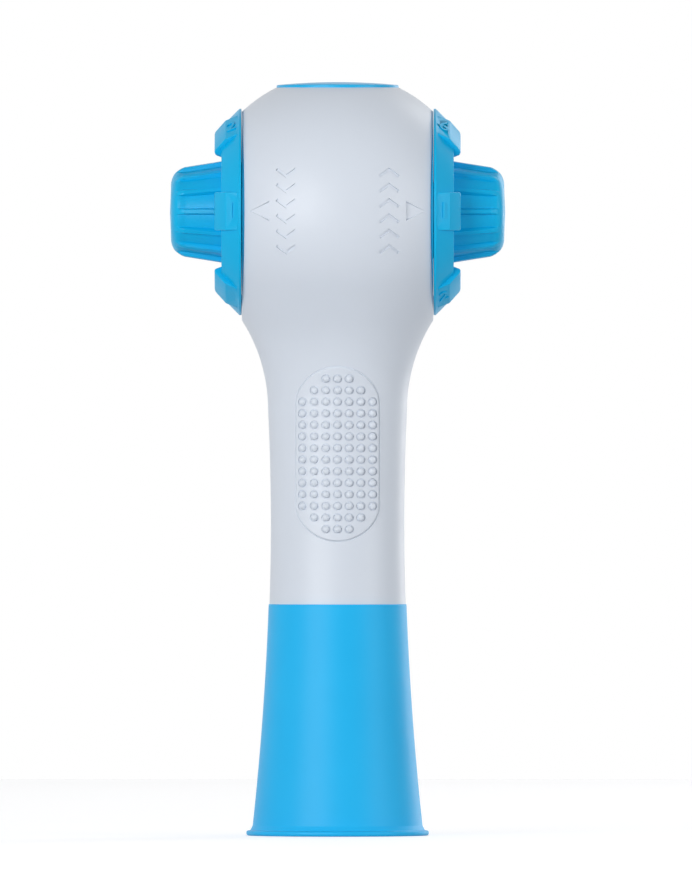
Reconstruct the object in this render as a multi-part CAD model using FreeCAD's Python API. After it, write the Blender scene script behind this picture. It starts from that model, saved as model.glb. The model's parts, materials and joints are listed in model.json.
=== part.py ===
import FreeCAD, Part
import math
import os

# Two-dial breathing trainer, in millimetres. It stands on the flange of its
# mouthpiece: Z is up, X runs through the two dials and -Y is the front.
# The housing is two shells that part at Y = 0. Lengths along the dial axis are
# called "out": the distance from the middle plane X = 0 towards either dial.

Vector = FreeCAD.Vector
UP = Vector(0, 0, 1)
ORIGIN = Vector(0, 0, 0)

# Head and housing shells
HEAD_RADIUS = 30.0
HEAD_CENTRE_Z = 135.0
DEPTH_RATIO = 0.973
SHELL_WALL = 1.8
NECK_SLOPE_DEG = 32.0
NECK_ARC_RADIUS = 36.0
HANDLE_TOP_RADIUS = 15.05
HANDLE_WAIST_RADIUS = 14.45
HANDLE_WAIST_Z = 68.0
HANDLE_FOOT_RADIUS = 14.75
HANDLE_FOOT_Z = 50.1
FOOT_WALL = 1.8
PORT_OPENING_RADIUS = 21.7
PORT_OPENING_OUT = 20.72
PORT_RIB_RADIUS = 20.3
PORT_RIB_OUT = 17.9
PORT_RIB_THICKNESS = 1.0
CAP_OPENING_RADIUS = 13.35
CAP_LIP_RADIUS = 12.4
CAP_LIP_Z = 159.3
CAP_LIP_THICKNESS = 1.6
CRADLE_THICKNESS = 1.6
CRADLE_HEIGHTS = (62.0, 92.0)
DRUM_CRADLE_OUT = 11.5
DRUM_CRADLE_REACH = 27.0
PEG_RADIUS = 0.85
PEG_LENGTH = 2.6
POST_RADIUS = 1.6
POST_PLACES = ((11.0, 76.0), (15.3, 110.5), (14.4, 155.2))

# Grip dots on the front and rear of the handle
DOT_PITCH = 2.5
DOT_RADIUS = 0.82
DOT_HEIGHT = 0.45
DOT_ROWS = 14
DOT_COLUMNS = 7
DOT_MIDDLE_Z = 82.35
DOT_SUNK = 0.5

# Fits
SLIP = 0.05
RUNNING_GAP = 0.3
END_PLAY = 0.1

# Air duct: an upright tube that ends below in a 22 mm cone seat, and a drum
# across its top whose two arms carry the valves
DUCT_BORE_RADIUS = 8.0
DUCT_WALL = 1.4
SPIGOT_RADIUS = 11.0
SPIGOT_BORE_RADIUS = 9.3
SPIGOT_LENGTH = 23.0
SPIGOT_BORE_LENGTH = 20.0
O_RING_SECTION = 1.3
O_RING_BELOW_SEAM = 14.0
DRUM_RADIUS = 17.3
DRUM_BORE_RADIUS = 14.6
SEAT_BORE_RADIUS = 15.8
SEAT_OUT = 8.5
DRUM_END_OUT = 15.8
GASKET_THICKNESS = 0.8

# Check valves
SEAT_THICKNESS = 1.8
SEAT_PORT_RADIUS = 2.6
SEAT_PORT_PITCH = 7.6
SEAT_PORTS = 6
DISC_RADIUS = 11.6
DISC_THICKNESS = 0.8
DISC_HOLE_RADIUS = 1.7
DISC_TRAVEL = 1.2
PIN_RADIUS = 1.4
PIN_HEAD_RADIUS = 3.0
PIN_COLLAR_RADIUS = 2.2
PIN_HEAD_THICKNESS = 0.8
PIN_PLAY = 0.2

# Port plates, one behind each dial
PLATE_FACE_OUT = 20.65
PLATE_RADIUS = 21.4
PLATE_COLLAR = 1.65
PLATE_GROOVE_RADIUS = 20.15
PLATE_FLANGE_RADIUS = 20.9
PLATE_SLEEVE_WALL = 1.1
PLATE_WEB_OUT = 17.3
PLATE_WEB_THICKNESS = 2.0
PLATE_RIM_RADIUS = 19.2
HUB_RADIUS = 6.5
WINDOW_RADIUS = 3.2
WINDOW_BOSS_RADIUS = 4.9
SEAL_RADIUS = 4.1
SEAL_THICKNESS = 1.3
CLICK_PITCH = 16.0
CLICK_AZIMUTH = 30.0
CLICK_BOSS_RADIUS = 2.2
CLICK_BALL_RADIUS = 1.2
CLICK_SPRING_RADIUS = 0.9
CLICK_WIRE_RADIUS = 0.15
CLICK_SPRING_TURNS = 4
CLICK_DIMPLE_DEPTH = 0.45

# Dials
DIAL_STEPS = 6
DIAL_RIM_OUT = 20.95
DIAL_RIM_RADIUS = 22.35
DIAL_FACE_OUT = 25.1
DIAL_FACE_RADIUS = 18.2
DIAL_FACE_THICKNESS = 2.2
DIAL_SKIRT_WALL = 1.8
ORIFICE_PITCH = 13.6
ORIFICE_LARGEST = 4.0
ORIFICE_SMALLEST = 1.5
STEM_RADIUS = 4.5
KNOB_BASE_RADIUS = 11.15
KNOB_TIP_RADIUS = 9.85
KNOB_SHOULDER_OUT = 33.1
KNOB_END_OUT = 36.3
KNOB_END_FLAT_RADIUS = 5.0
KNOB_END_DOME = 0.3
KNOB_RIBS = 14
KNOB_RIB_WIDTH = 1.1
KNOB_PANEL_DEPTH = 0.6
KNOB_WALL = 1.6
KNOB_TOP_WALL = 2.2
PAD_WIDTH = 8.25
PAD_TOP_OUT = 26.6
PAD_INNER_RADIUS = 16.0
PAD_CREST_RADIUS = 17.0
PAD_KNEE_OUT = 24.25
PAD_KNEE_RADIUS = 20.45
PAD_FOOT_OUT = 21.65
PAD_FOOT_RADIUS = 21.7
WASHER_RADIUS = 6.2
WASHER_THICKNESS = 0.8
SCREW_RADIUS = 1.25
SCREW_HEAD_RADIUS = 2.8
SCREW_HEAD_HEIGHT = 1.8
SCREW_LENGTH = 9.0

# Top cap
CAP_RADIUS = 13.2
CAP_RIM_ABOVE_LIP = 1.55
CAP_DOME = 0.65
CAP_FLANGE_RADIUS = 13.4
CAP_FLANGE_THICKNESS = 1.2
CAP_WALL = 1.6

# Mouthpiece
MOUTH_TOP_RADIUS = 14.95
MOUTH_MIDDLE_RADIUS = 16.3
MOUTH_LIP_RADIUS = 18.4
MOUTH_LIP_Z = 2.2
MOUTH_EDGE_ROUND = 0.5
FLANGE_RADIUS = 19.77
FLANGE_THICKNESS = 1.1
MOUTH_OPENING_RADIUS = 16.4
MOUTH_THROAT_RADIUS = 9.6
MOUTH_THROAT_LENGTH = 2.5


def point(radius, height):
    """A point of a turned profile, in the XZ plane."""
    return Vector(radius, 0, height)


def turned(corners):
    """The solid made by turning a closed polygon of (radius, height) about Z."""
    points = [point(*corner) for corner in corners]
    return turned_edges(Part.makePolygon(points + points[:1]).Edges)


def turned_edges(edges):
    """The solid made by turning a closed loop of edges about Z."""
    face = Part.Face(Part.Wire(edges))
    return face.revolve(ORIGIN, UP, 360)


def line(start, end):
    return Part.LineSegment(start, end).toShape()


def arc(start, middle, end):
    return Part.Arc(start, middle, end).toShape()


def tube(outer, inner, low, high):
    """A straight round tube about Z."""
    return rod(outer, low, high).cut(rod(inner, low - 1, high + 1))


def rod(radius, low, high, centre=(0, 0)):
    """A round rod parallel to Z."""
    return Part.makeCylinder(radius, high - low, Vector(centre[0], centre[1], low), UP)


def azimuth(radius, degrees):
    """A place on a side's face: 0 degrees is the front, seen down the dial axis."""
    angle = math.radians(degrees)
    return radius * math.sin(angle), -radius * math.cos(angle)


def on_side(shape, side):
    """Turn a shape built along Z so that Z becomes out, on side +1 or -1."""
    placed = shape.copy()
    placed.rotate(ORIGIN, Vector(0, 1, 0), 90 * side)
    placed.translate(Vector(0, 0, HEAD_CENTRE_Z))
    return placed


def fused(shapes):
    return shapes[0].multiFuse(shapes[1:]).removeSplitter()


# Housing


def housing_body(inset):
    """The housing as one turned solid, made smaller all round by inset."""
    slope = math.radians(NECK_SLOPE_DEG)
    ball = HEAD_RADIUS - inset
    neck = NECK_ARC_RADIUS + inset
    handle = HANDLE_TOP_RADIUS - inset
    crown = point(0, HEAD_CENTRE_Z + ball)
    shoulder = point(ball * math.cos(slope / 2), HEAD_CENTRE_Z + ball * math.sin(slope / 2))
    ball_foot = point(ball * math.cos(slope), HEAD_CENTRE_Z - ball * math.sin(slope))
    neck_corner_z = ball_foot.z - (ball_foot.x - handle) / math.tan(slope)
    reach = neck * math.tan(slope / 2)
    neck_foot = point(handle, neck_corner_z - reach)
    neck_top = point(handle + reach * math.sin(slope), neck_corner_z + reach * math.cos(slope))
    neck_centre = point(handle + neck, neck_foot.z)
    neck_middle = neck_centre + Vector(-math.cos(slope / 2), 0, math.sin(slope / 2)) * neck
    waist = point(HANDLE_WAIST_RADIUS - inset, HANDLE_WAIST_Z)
    foot = point(HANDLE_FOOT_RADIUS - inset, HANDLE_FOOT_Z)
    centre_foot = point(0, HANDLE_FOOT_Z)
    body = turned_edges([
        line(centre_foot, foot),
        arc(foot, waist, neck_foot),
        arc(neck_foot, neck_middle, neck_top),
        line(neck_top, ball_foot),
        arc(ball_foot, shoulder, crown),
        line(crown, centre_foot),
    ])
    flatten = FreeCAD.Matrix()
    flatten.scale(1, DEPTH_RATIO, 1)
    return body.transformGeometry(flatten)


def side_opening(side):
    """What the dial side takes away from the shell: a round hole and a flat."""
    reach = 2 * HEAD_RADIUS
    hole = rod(PORT_OPENING_RADIUS, DRUM_END_OUT, reach)
    flat = Part.makeBox(reach, reach, reach, Vector(-reach / 2, -reach / 2, PORT_OPENING_OUT))
    return on_side(hole.fuse(flat), side)


def port_rib(side, room):
    """The ring inside the shell that sits in the port plate's groove."""
    ring = tube(HEAD_RADIUS, PORT_RIB_RADIUS, PORT_RIB_OUT, PORT_RIB_OUT + PORT_RIB_THICKNESS)
    return on_side(ring, side).common(room)


def drum_cradle(side, room):
    """The ring inside the shell that holds one arm of the duct's drum."""
    low = DRUM_CRADLE_OUT
    ring = tube(DRUM_CRADLE_REACH, DRUM_RADIUS + SLIP, low, low + CRADLE_THICKNESS)
    return on_side(ring, side).common(room)


def duct_cradle(height, room):
    """A web inside the handle that holds the duct's upright tube."""
    low = height - CRADLE_THICKNESS / 2
    hole = DUCT_BORE_RADIUS + DUCT_WALL + SLIP
    return tube(HEAD_RADIUS, hole, low, low + CRADLE_THICKNESS).common(room)


def foot_wall(room):
    """The wall that closes the handle's lower end round the duct."""
    hole = DUCT_BORE_RADIUS + DUCT_WALL + SLIP
    return tube(HEAD_RADIUS, hole, HANDLE_FOOT_Z, HANDLE_FOOT_Z + FOOT_WALL).common(room)


def cap_lip(body):
    """The step inside the top opening that the cap's groove sits on."""
    ring = tube(CAP_OPENING_RADIUS + 1, CAP_LIP_RADIUS, CAP_LIP_Z, CAP_LIP_Z + CAP_LIP_THICKNESS)
    return ring.common(body)


def cap_flange_low():
    return CAP_LIP_Z - END_PLAY - CAP_FLANGE_THICKNESS


def cap_room():
    """Room under the lip for the cap's flange, clear of the cradles beside it."""
    return rod(CAP_FLANGE_RADIUS + RUNNING_GAP, cap_flange_low() - RUNNING_GAP, CAP_LIP_Z)


def across(radius, start, length, place):
    """A round rod parallel to Y, at place (x, z)."""
    return Part.makeCylinder(radius, length, Vector(place[0], start, place[1]), Vector(0, 1, 0))


def posts(room):
    """The posts that line the two shells up, as one rod each from front to rear."""
    shapes = []
    for x, z in POST_PLACES:
        for side in (-1, 1):
            rod_across = across(POST_RADIUS, -HEAD_RADIUS, 2 * HEAD_RADIUS, (side * x, z))
            shapes.append(rod_across.common(room))
    return shapes


def grip_dots():
    """Domed grip dots on the front of the handle, fewer in the end rows."""
    shapes = []
    sphere_radius = (DOT_RADIUS ** 2 + DOT_HEIGHT ** 2) / (2 * DOT_HEIGHT)
    for row in range(DOT_ROWS):
        from_end = min(row, DOT_ROWS - 1 - row)
        count = min(DOT_COLUMNS, 3 + 2 * from_end)
        z = DOT_MIDDLE_Z + (row - (DOT_ROWS - 1) / 2) * DOT_PITCH
        for column in range(count):
            x = (column - (count - 1) / 2) * DOT_PITCH
            shapes.append(grip_dot(x, z, sphere_radius))
    return shapes


def grip_dot(x, z, sphere_radius):
    """One dot: a low dome on a short root that is sunk in the handle."""
    radius_here = handle_radius(z)
    surface_y = -DEPTH_RATIO * math.sqrt(radius_here ** 2 - x ** 2)
    root = across(DOT_RADIUS, surface_y, DOT_SUNK + DOT_HEIGHT, (x, z))
    dome_centre = Vector(x, surface_y + sphere_radius - DOT_HEIGHT, z)
    dome = Part.makeSphere(sphere_radius, dome_centre)
    head = across(DOT_RADIUS, surface_y - DOT_HEIGHT, DOT_HEIGHT, (x, z)).common(dome)
    return root.fuse(head).removeSplitter()


def handle_radius(z):
    """The handle's outside radius at a height within its waist."""
    low = (HANDLE_FOOT_RADIUS - HANDLE_WAIST_RADIUS) / (HANDLE_FOOT_Z - HANDLE_WAIST_Z) ** 2
    return HANDLE_WAIST_RADIUS + low * (z - HANDLE_WAIST_Z) ** 2


def housing_halves():
    """The front and rear shells, with their ribs, posts and pegs."""
    body = housing_body(0)
    room = housing_body(SHELL_WALL)
    shell = body.cut(room)
    pieces = [shell, foot_wall(room), cap_lip(body)]
    pieces += [port_rib(side, room) for side in (-1, 1)]
    pieces += [drum_cradle(side, room) for side in (-1, 1)]
    pieces += [duct_cradle(height, room) for height in CRADLE_HEIGHTS]
    whole = pieces[0].multiFuse(pieces[1:] + posts(room))
    above_lip = CAP_LIP_Z + CAP_LIP_THICKNESS
    whole = whole.cut(rod(CAP_OPENING_RADIUS, above_lip, above_lip + HEAD_RADIUS))
    whole = whole.cut(rod(CAP_LIP_RADIUS, HEAD_CENTRE_Z, above_lip + HEAD_RADIUS))
    whole = whole.cut(cap_room())
    whole = whole.cut(on_side(rod(DRUM_RADIUS + SLIP, -HEAD_RADIUS, HEAD_RADIUS), 1))
    for side in (-1, 1):
        whole = whole.cut(port_room(side))
        whole = whole.cut(side_opening(side))
    half = 2 * HEAD_RADIUS
    top = HEAD_CENTRE_Z + half
    front = whole.common(Part.makeBox(2 * half, half, top, Vector(-half, -half, 0)))
    rear = whole.common(Part.makeBox(2 * half, half, top, Vector(-half, 0, 0)))
    for x, z in POST_PLACES:
        for side in (-1, 1):
            place = (side * x, z)
            front = front.cut(across(PEG_RADIUS + SLIP, -PEG_LENGTH - RUNNING_GAP, half, place))
            rear = rear.fuse(across(PEG_RADIUS, -PEG_LENGTH, PEG_LENGTH + POST_RADIUS, place))
    return front.removeSplitter(), rear.removeSplitter()


def port_room(side):
    """Room inside the ribs for the port plate behind the shell's opening."""
    behind = rod(PLATE_FLANGE_RADIUS + SLIP, DRUM_END_OUT, PORT_RIB_OUT)
    through = rod(PORT_RIB_RADIUS, DRUM_END_OUT, PORT_OPENING_OUT)
    return on_side(behind.fuse(through), side)


# Air duct and mouthpiece


def air_duct():
    tube_radius = DUCT_BORE_RADIUS + DUCT_WALL
    foot = HANDLE_FOOT_Z - SPIGOT_LENGTH
    upright = rod(tube_radius, foot, HEAD_CENTRE_Z)
    spigot = rod(SPIGOT_RADIUS, foot, HANDLE_FOOT_Z)
    drum = on_side(rod(DRUM_RADIUS, -DRUM_END_OUT, DRUM_END_OUT), 1)
    bores = [
        rod(DUCT_BORE_RADIUS, foot - 1, HEAD_CENTRE_Z),
        rod(SPIGOT_BORE_RADIUS, foot - 1, foot + SPIGOT_BORE_LENGTH),
        on_side(rod(DRUM_BORE_RADIUS, -SEAT_OUT, SEAT_OUT), 1),
    ]
    for side in (-1, 1):
        bores.append(on_side(rod(SEAT_BORE_RADIUS, SEAT_OUT, DRUM_END_OUT + 1), side))
    duct = fused([upright, spigot, drum])
    for bore in bores:
        duct = duct.cut(bore)
    return duct.cut(o_ring_groove())


def o_ring_centre_z():
    return HANDLE_FOOT_Z - O_RING_BELOW_SEAM


def o_ring_groove():
    depth = O_RING_SECTION + SLIP
    low = o_ring_centre_z() - depth / 2
    return tube(SPIGOT_RADIUS + 1, SPIGOT_RADIUS - depth, low, low + depth)


def spigot_o_ring():
    section = O_RING_SECTION / 2
    centre = Vector(0, 0, o_ring_centre_z())
    return Part.makeTorus(SPIGOT_RADIUS - section, section, centre, UP)


def mouthpiece():
    """A soft trumpet that grips the duct's spigot and ends in a thin flange."""
    top = HANDLE_FOOT_Z
    bore = SPIGOT_RADIUS + SLIP
    ledge = HANDLE_FOOT_Z - SPIGOT_LENGTH - RUNNING_GAP
    throat = ledge - MOUTH_THROAT_LENGTH
    half_flange = FLANGE_THICKNESS / 2
    round_in = FLANGE_RADIUS - half_flange
    lip = point(MOUTH_LIP_RADIUS, MOUTH_LIP_Z)
    flange_root = point(round_in, FLANGE_THICKNESS)
    flange_foot = point(round_in, 0)
    corner = MOUTH_EDGE_ROUND
    shoulder = point(MOUTH_TOP_RADIUS, top - corner)
    edge = point(MOUTH_TOP_RADIUS - corner, top)
    turn = corner * (1 - math.sqrt(0.5))
    edge_middle = point(MOUTH_TOP_RADIUS - turn, top - turn)
    bell_middle = point(
        (MOUTH_OPENING_RADIUS + MOUTH_THROAT_RADIUS) / 2 - MOUTH_EDGE_ROUND, throat / 2)
    return turned_edges([
        line(point(bore, top), edge),
        arc(edge, edge_middle, shoulder),
        arc(shoulder, point(MOUTH_MIDDLE_RADIUS, top / 2), lip),
        line(lip, flange_root),
        arc(flange_root, point(FLANGE_RADIUS, half_flange), flange_foot),
        line(flange_foot, point(MOUTH_OPENING_RADIUS, 0)),
        arc(point(MOUTH_OPENING_RADIUS, 0), bell_middle, point(MOUTH_THROAT_RADIUS, throat)),
        line(point(MOUTH_THROAT_RADIUS, throat), point(MOUTH_THROAT_RADIUS, ledge)),
        line(point(MOUTH_THROAT_RADIUS, ledge), point(bore, ledge)),
        line(point(bore, ledge), point(bore, top)),
    ])


def top_cap():
    """The domed cap, with the groove that holds it on the shells' lip."""
    groove_low = CAP_LIP_Z - END_PLAY
    groove_high = CAP_LIP_Z + CAP_LIP_THICKNESS + END_PLAY
    rim = CAP_LIP_Z + CAP_LIP_THICKNESS + CAP_RIM_ABOVE_LIP
    crown = rim + CAP_DOME
    groove = CAP_LIP_RADIUS - SLIP
    low = cap_flange_low()
    inside = groove - CAP_WALL
    return turned_edges([
        line(point(0, crown - CAP_WALL), point(inside, rim - CAP_WALL)),
        line(point(inside, rim - CAP_WALL), point(inside, low)),
        line(point(inside, low), point(CAP_FLANGE_RADIUS, low)),
        line(point(CAP_FLANGE_RADIUS, low), point(CAP_FLANGE_RADIUS, groove_low)),
        line(point(CAP_FLANGE_RADIUS, groove_low), point(groove, groove_low)),
        line(point(groove, groove_low), point(groove, groove_high)),
        line(point(groove, groove_high), point(CAP_RADIUS, groove_high)),
        line(point(CAP_RADIUS, groove_high), point(CAP_RADIUS, rim)),
        arc(point(CAP_RADIUS, rim), dome_middle(rim, CAP_RADIUS, CAP_DOME), point(0, crown)),
        line(point(0, crown), point(0, crown - CAP_WALL)),
    ])


def dome_middle(rim, radius, rise):
    """A point half way in along a shallow dome of the given rise."""
    sphere = (radius ** 2 + rise ** 2) / (2 * rise)
    half = radius / 2
    return point(half, rim + rise - sphere + math.sqrt(sphere ** 2 - half ** 2))


# Valves, built along Z for one side. A sign of +1 means that the disc lies on
# the outer face of the seat and lifts outwards, -1 that it lifts inwards.


def valve_seat():
    seat = rod(SEAT_BORE_RADIUS - SLIP, SEAT_OUT, SEAT_OUT + SEAT_THICKNESS)
    seat = seat.cut(rod(PIN_RADIUS + SLIP, 0, DRUM_END_OUT))
    for step in range(SEAT_PORTS):
        place = azimuth(SEAT_PORT_PITCH, step * 360 / SEAT_PORTS)
        seat = seat.cut(rod(SEAT_PORT_RADIUS, 0, DRUM_END_OUT, place))
    return seat


def seat_face(sign):
    """The height of the seat's face that the disc lies on."""
    return SEAT_OUT + SEAT_THICKNESS if sign > 0 else SEAT_OUT


def span(start, length, sign):
    """Low and high ends of a length measured from start towards sign."""
    end = start + sign * length
    return min(start, end), max(start, end)


def valve_disc(sign):
    low, high = span(seat_face(sign), DISC_THICKNESS, sign)
    return tube(DISC_RADIUS, DISC_HOLE_RADIUS, low, high)


def valve_pin(sign):
    face = seat_face(sign)
    head_start = face + sign * (DISC_THICKNESS + DISC_TRAVEL + PIN_PLAY)
    collar_start = seat_face(-sign)
    head = span(head_start, PIN_HEAD_THICKNESS, sign)
    collar = span(collar_start, PIN_HEAD_THICKNESS, -sign)
    low = min(head[0], collar[0])
    high = max(head[1], collar[1])
    return fused([
        rod(PIN_RADIUS, low, high),
        rod(PIN_HEAD_RADIUS, *head),
        rod(PIN_COLLAR_RADIUS, *collar),
    ])


# Port plate and what it carries, built along Z for one side


def dial_inner_face():
    return DIAL_FACE_OUT - DIAL_FACE_THICKNESS


def window_place():
    return azimuth(ORIFICE_PITCH, 0)


def click_place():
    return azimuth(CLICK_PITCH, CLICK_AZIMUTH)


def click_ball_centre():
    """The ball is drawn pushed in, just clear of the dial's inner face."""
    return dial_inner_face() - SLIP - CLICK_BALL_RADIUS


def click_boss_top():
    return click_ball_centre() + CLICK_BALL_RADIUS / 4


def click_floor():
    return DRUM_END_OUT + GASKET_THICKNESS + PLATE_SLEEVE_WALL


def port_plate():
    flange_low = DRUM_END_OUT + GASKET_THICKNESS
    groove_low = PORT_RIB_OUT - END_PLAY
    collar_low = PLATE_FACE_OUT - PLATE_COLLAR
    sleeve_outer = SEAT_BORE_RADIUS - SLIP
    sleeve_inner = sleeve_outer - PLATE_SLEEVE_WALL
    sleeve_low = SEAT_OUT + SEAT_THICKNESS
    web_top = PLATE_WEB_OUT + PLATE_WEB_THICKNESS
    hub_top = dial_inner_face() - RUNNING_GAP
    hub_bore = STEM_RADIUS + SLIP
    plate = turned([
        (hub_bore, PLATE_WEB_OUT),
        (sleeve_inner, PLATE_WEB_OUT),
        (sleeve_inner, sleeve_low),
        (sleeve_outer, sleeve_low),
        (sleeve_outer, flange_low),
        (PLATE_FLANGE_RADIUS, flange_low),
        (PLATE_FLANGE_RADIUS, groove_low),
        (PLATE_GROOVE_RADIUS, groove_low),
        (PLATE_GROOVE_RADIUS, collar_low),
        (PLATE_RADIUS, collar_low),
        (PLATE_RADIUS, PLATE_FACE_OUT),
        (PLATE_RIM_RADIUS, PLATE_FACE_OUT),
        (PLATE_RIM_RADIUS, web_top),
        (HUB_RADIUS, web_top),
        (HUB_RADIUS, hub_top),
        (hub_bore, hub_top),
    ])
    window_boss = rod(WINDOW_BOSS_RADIUS, PLATE_WEB_OUT, window_boss_top(), window_place())
    click_boss = rod(CLICK_BOSS_RADIUS, PLATE_WEB_OUT, click_boss_top(), click_place())
    plate = fused([plate, window_boss, click_boss])
    sleeve_room = rod(sleeve_inner, sleeve_low, PLATE_WEB_OUT)
    plate = plate.cut(sleeve_room)
    plate = plate.cut(rod(WINDOW_RADIUS, 0, DIAL_FACE_OUT, window_place()))
    pocket = rod(CLICK_BALL_RADIUS + SLIP, click_floor(), DIAL_FACE_OUT, click_place())
    return plate.cut(pocket)


def window_boss_top():
    return dial_inner_face() - SEAL_THICKNESS


def port_seal():
    """A soft ring between the plate's window and the turning dial."""
    outer = rod(SEAL_RADIUS, window_boss_top(), dial_inner_face(), window_place())
    return outer.cut(rod(WINDOW_RADIUS, 0, DIAL_FACE_OUT, window_place()))


def arm_gasket():
    low = DRUM_END_OUT
    return tube(DRUM_RADIUS, SEAT_BORE_RADIUS, low, low + GASKET_THICKNESS)


def click_ball():
    x, y = click_place()
    return Part.makeSphere(CLICK_BALL_RADIUS, Vector(x, y, click_ball_centre()))


def click_spring():
    """An open coil spring between the pocket's floor and the ball."""
    low = click_floor() + CLICK_WIRE_RADIUS
    high = click_ball_centre() - CLICK_BALL_RADIUS
    height = high - low
    radius = CLICK_SPRING_RADIUS
    helix = Part.makeHelix(height / CLICK_SPRING_TURNS, height, radius)
    section = Part.Wire(Part.makeCircle(CLICK_WIRE_RADIUS, point(radius, 0), Vector(0, 1, 0)))
    spring = Part.Wire(helix).makePipeShell([section], True, True)
    x, y = click_place()
    spring.translate(Vector(x, y, low))
    return spring


# Dial, built along Z for one side


def knob_outline(inset):
    """The knob as a turned solid, made smaller all round by inset."""
    base = point(KNOB_BASE_RADIUS - inset, DIAL_FACE_OUT)
    shoulder = point(KNOB_TIP_RADIUS - inset, KNOB_SHOULDER_OUT)
    end = KNOB_END_OUT - inset
    rim = point(KNOB_END_FLAT_RADIUS, end - KNOB_END_DOME)
    corner = point(
        shoulder.x - (shoulder.x - rim.x) * 0.3, shoulder.z + (rim.z - shoulder.z) * 0.72)
    crown = point(0, end)
    floor = point(0, DIAL_FACE_OUT)
    return turned_edges([
        line(floor, base),
        line(base, shoulder),
        arc(shoulder, corner, rim),
        line(rim, crown),
        line(crown, floor),
    ])


def knob():
    """Narrow ribs that run from the face to the end, with shallow panels between."""
    outline = knob_outline(0)
    core = knob_outline(KNOB_PANEL_DEPTH)
    ribs = []
    for step in range(KNOB_RIBS // 2):
        bar = Part.makeBox(
            KNOB_RIB_WIDTH, 2 * KNOB_BASE_RADIUS, KNOB_END_OUT - DIAL_FACE_OUT,
            Vector(-KNOB_RIB_WIDTH / 2, -KNOB_BASE_RADIUS, DIAL_FACE_OUT))
        bar.rotate(ORIGIN, UP, step * 360 / KNOB_RIBS)
        ribs.append(bar)
    return core.multiFuse([bar.common(outline) for bar in ribs])


def number_pad(degrees):
    """A raised pad on the skirt, whose outer end takes a number."""
    profile = [
        (PAD_INNER_RADIUS, dial_inner_face()),
        (PAD_INNER_RADIUS, PAD_TOP_OUT),
        (PAD_CREST_RADIUS, PAD_TOP_OUT),
        (PAD_KNEE_RADIUS, PAD_KNEE_OUT),
        (PAD_FOOT_RADIUS, PAD_FOOT_OUT),
        (PAD_FOOT_RADIUS - DIAL_SKIRT_WALL, PAD_FOOT_OUT),
    ]
    points = [Vector(-PAD_WIDTH / 2, -radius, height) for radius, height in profile]
    face = Part.Face(Part.makePolygon(points + points[:1]))
    pad = face.extrude(Vector(PAD_WIDTH, 0, 0))
    pad.rotate(ORIGIN, UP, degrees)
    return pad


def dial():
    cone = DIAL_SKIRT_WALL * math.sqrt(2)
    inner = dial_inner_face()
    rim_inner = DIAL_RIM_RADIUS - cone
    face_inner = rim_inner - (inner - DIAL_RIM_OUT)
    stem_end = PLATE_WEB_OUT - END_PLAY
    skirt = turned([
        (0, stem_end),
        (STEM_RADIUS, stem_end),
        (STEM_RADIUS, inner),
        (face_inner, inner),
        (rim_inner, DIAL_RIM_OUT),
        (DIAL_RIM_RADIUS, DIAL_RIM_OUT),
        (DIAL_FACE_RADIUS, DIAL_FACE_OUT),
        (0, DIAL_FACE_OUT),
    ])
    shape = fused([skirt, knob()])
    pads = [number_pad(step * 360 / DIAL_STEPS) for step in range(DIAL_STEPS)]
    hollow_skirt = turned([(0, 0), (rim_inner, DIAL_RIM_OUT), (face_inner, inner), (0, inner)])
    shape = shape.multiFuse([pad.cut(hollow_skirt) for pad in pads])
    inside = KNOB_BASE_RADIUS - KNOB_PANEL_DEPTH - KNOB_WALL
    inside_top = KNOB_TIP_RADIUS - KNOB_PANEL_DEPTH - KNOB_WALL
    cavity_top = KNOB_END_OUT - KNOB_PANEL_DEPTH - KNOB_TOP_WALL
    shape = shape.cut(turned([
        (STEM_RADIUS, inner),
        (inside, inner),
        (inside_top, cavity_top),
        (STEM_RADIUS, cavity_top),
    ]))
    for step in range(DIAL_STEPS):
        turn = step * 360 / DIAL_STEPS
        shrink = (ORIFICE_LARGEST - ORIFICE_SMALLEST) * step / (DIAL_STEPS - 1)
        hole = (ORIFICE_LARGEST - shrink) / 2
        shape = shape.cut(rod(hole, 0, PAD_TOP_OUT, azimuth(ORIFICE_PITCH, turn)))
        shape = shape.cut(click_dimple(turn + CLICK_AZIMUTH))
    return shape.cut(rod(SCREW_RADIUS + SLIP, 0, stem_end + SCREW_LENGTH)).removeSplitter()


def click_dimple(degrees):
    """The hollow in the dial's inner face that the ball clicks into."""
    x, y = azimuth(CLICK_PITCH, degrees)
    centre = dial_inner_face() + CLICK_DIMPLE_DEPTH - CLICK_BALL_RADIUS
    return Part.makeSphere(CLICK_BALL_RADIUS, Vector(x, y, centre))


def washer_low():
    return PLATE_WEB_OUT - END_PLAY - WASHER_THICKNESS


def dial_washer():
    return tube(WASHER_RADIUS, SCREW_RADIUS + SLIP, washer_low(), washer_low() + WASHER_THICKNESS)


def dial_screw():
    low = washer_low()
    return fused([
        rod(SCREW_HEAD_RADIUS, low - SCREW_HEAD_HEIGHT, low),
        rod(SCREW_RADIUS, low - SCREW_HEAD_HEIGHT, low + SCREW_LENGTH),
    ])


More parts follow.
